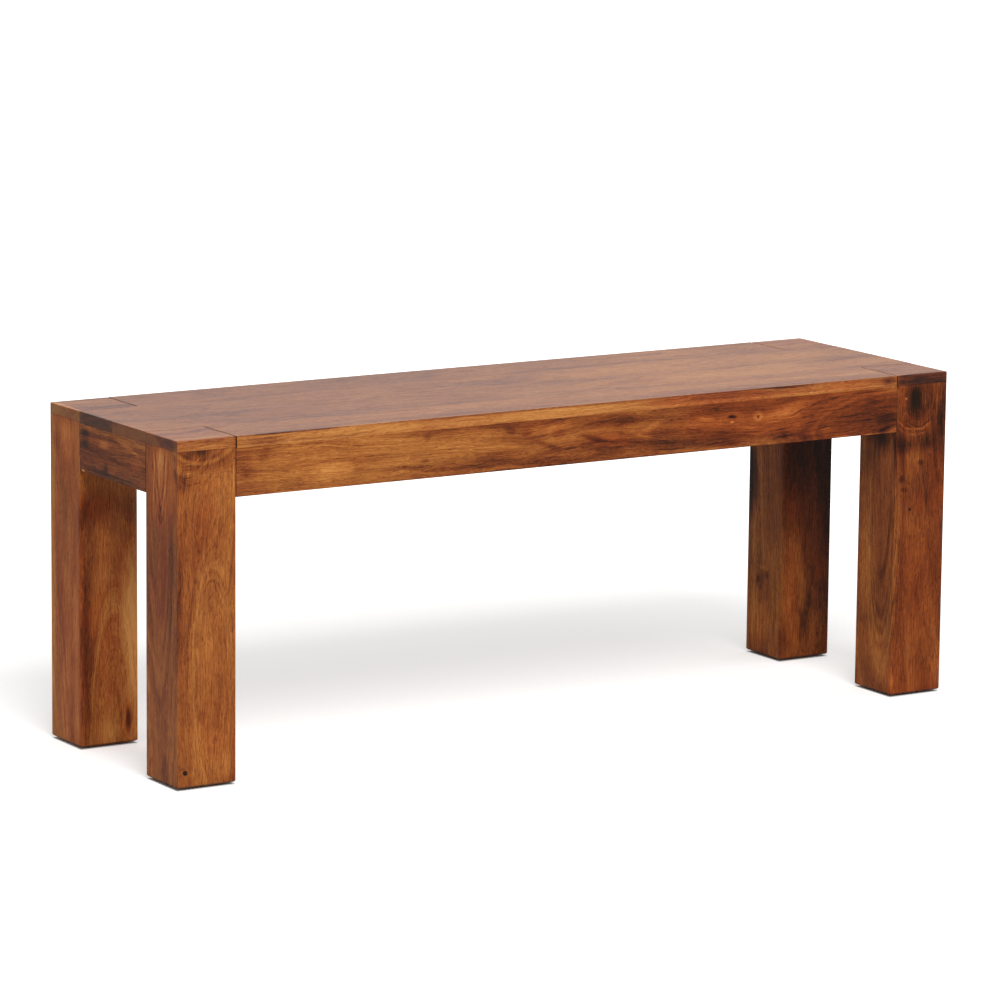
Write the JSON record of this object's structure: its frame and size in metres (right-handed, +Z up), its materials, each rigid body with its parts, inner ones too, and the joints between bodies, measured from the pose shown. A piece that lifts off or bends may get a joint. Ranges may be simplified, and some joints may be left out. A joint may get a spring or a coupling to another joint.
{
  "type": "wooden bench",
  "caption": "Backless solid-wood bench with square corner legs, flush aprons and a flat seat with square corner caps.",
  "frame": {"origin": "on the floor, under the middle of the seat", "axes": "+X along the length to the right as seen from the front, +Y from front to back, +Z up"},
  "size_m": [1.2, 0.35, 0.45],
  "materials": {
    "seat_wood": "satin lacquered sheesham, grain along the bench",
    "leg_wood": "satin lacquered sheesham, grain upright",
    "apron_wood": "satin lacquered sheesham, grain along each board",
    "inner_wood": "sawn sheesham with a thin sealing coat",
    "dowel_wood": "plain fluted hardwood dowel",
    "zinc_steel": "bright zinc-plated steel",
    "glide_plastic": "matte dark polyethylene"
  },
  "bodies": {
    "root": {"seat_stave_front": "seat_wood", "seat_stave_middle_1": "seat_wood", "seat_stave_middle_2": "seat_wood", "seat_stave_back": "seat_wood", "cap_front_left": "seat_wood", "cap_front_right": "seat_wood", "cap_back_left": "seat_wood", "cap_back_right": "seat_wood", "leg_front_left": "leg_wood", "leg_front_right": "leg_wood", "leg_back_left": "leg_wood", "leg_back_right": "leg_wood", "apron_front": "apron_wood", "apron_back": "apron_wood", "apron_left": "apron_wood", "apron_right": "apron_wood", "batten_left": "inner_wood", "batten_middle": "inner_wood", "batten_right": "inner_wood", "corner_brace_front_left": "inner_wood", "corner_brace_front_right": "inner_wood", "corner_brace_back_left": "inner_wood", "corner_brace_back_right": "inner_wood", "apron_dowels": "dowel_wood", "cap_dowels": "dowel_wood", "hanger_bolts": "zinc_steel", "bolt_washers": "zinc_steel", "bolt_nuts": "zinc_steel", "brace_screws": "zinc_steel", "batten_screws": "zinc_steel", "glide_front_left": "glide_plastic", "glide_front_right": "glide_plastic", "glide_back_left": "glide_plastic", "glide_back_right": "glide_plastic"}
  },
  "joints": []
}
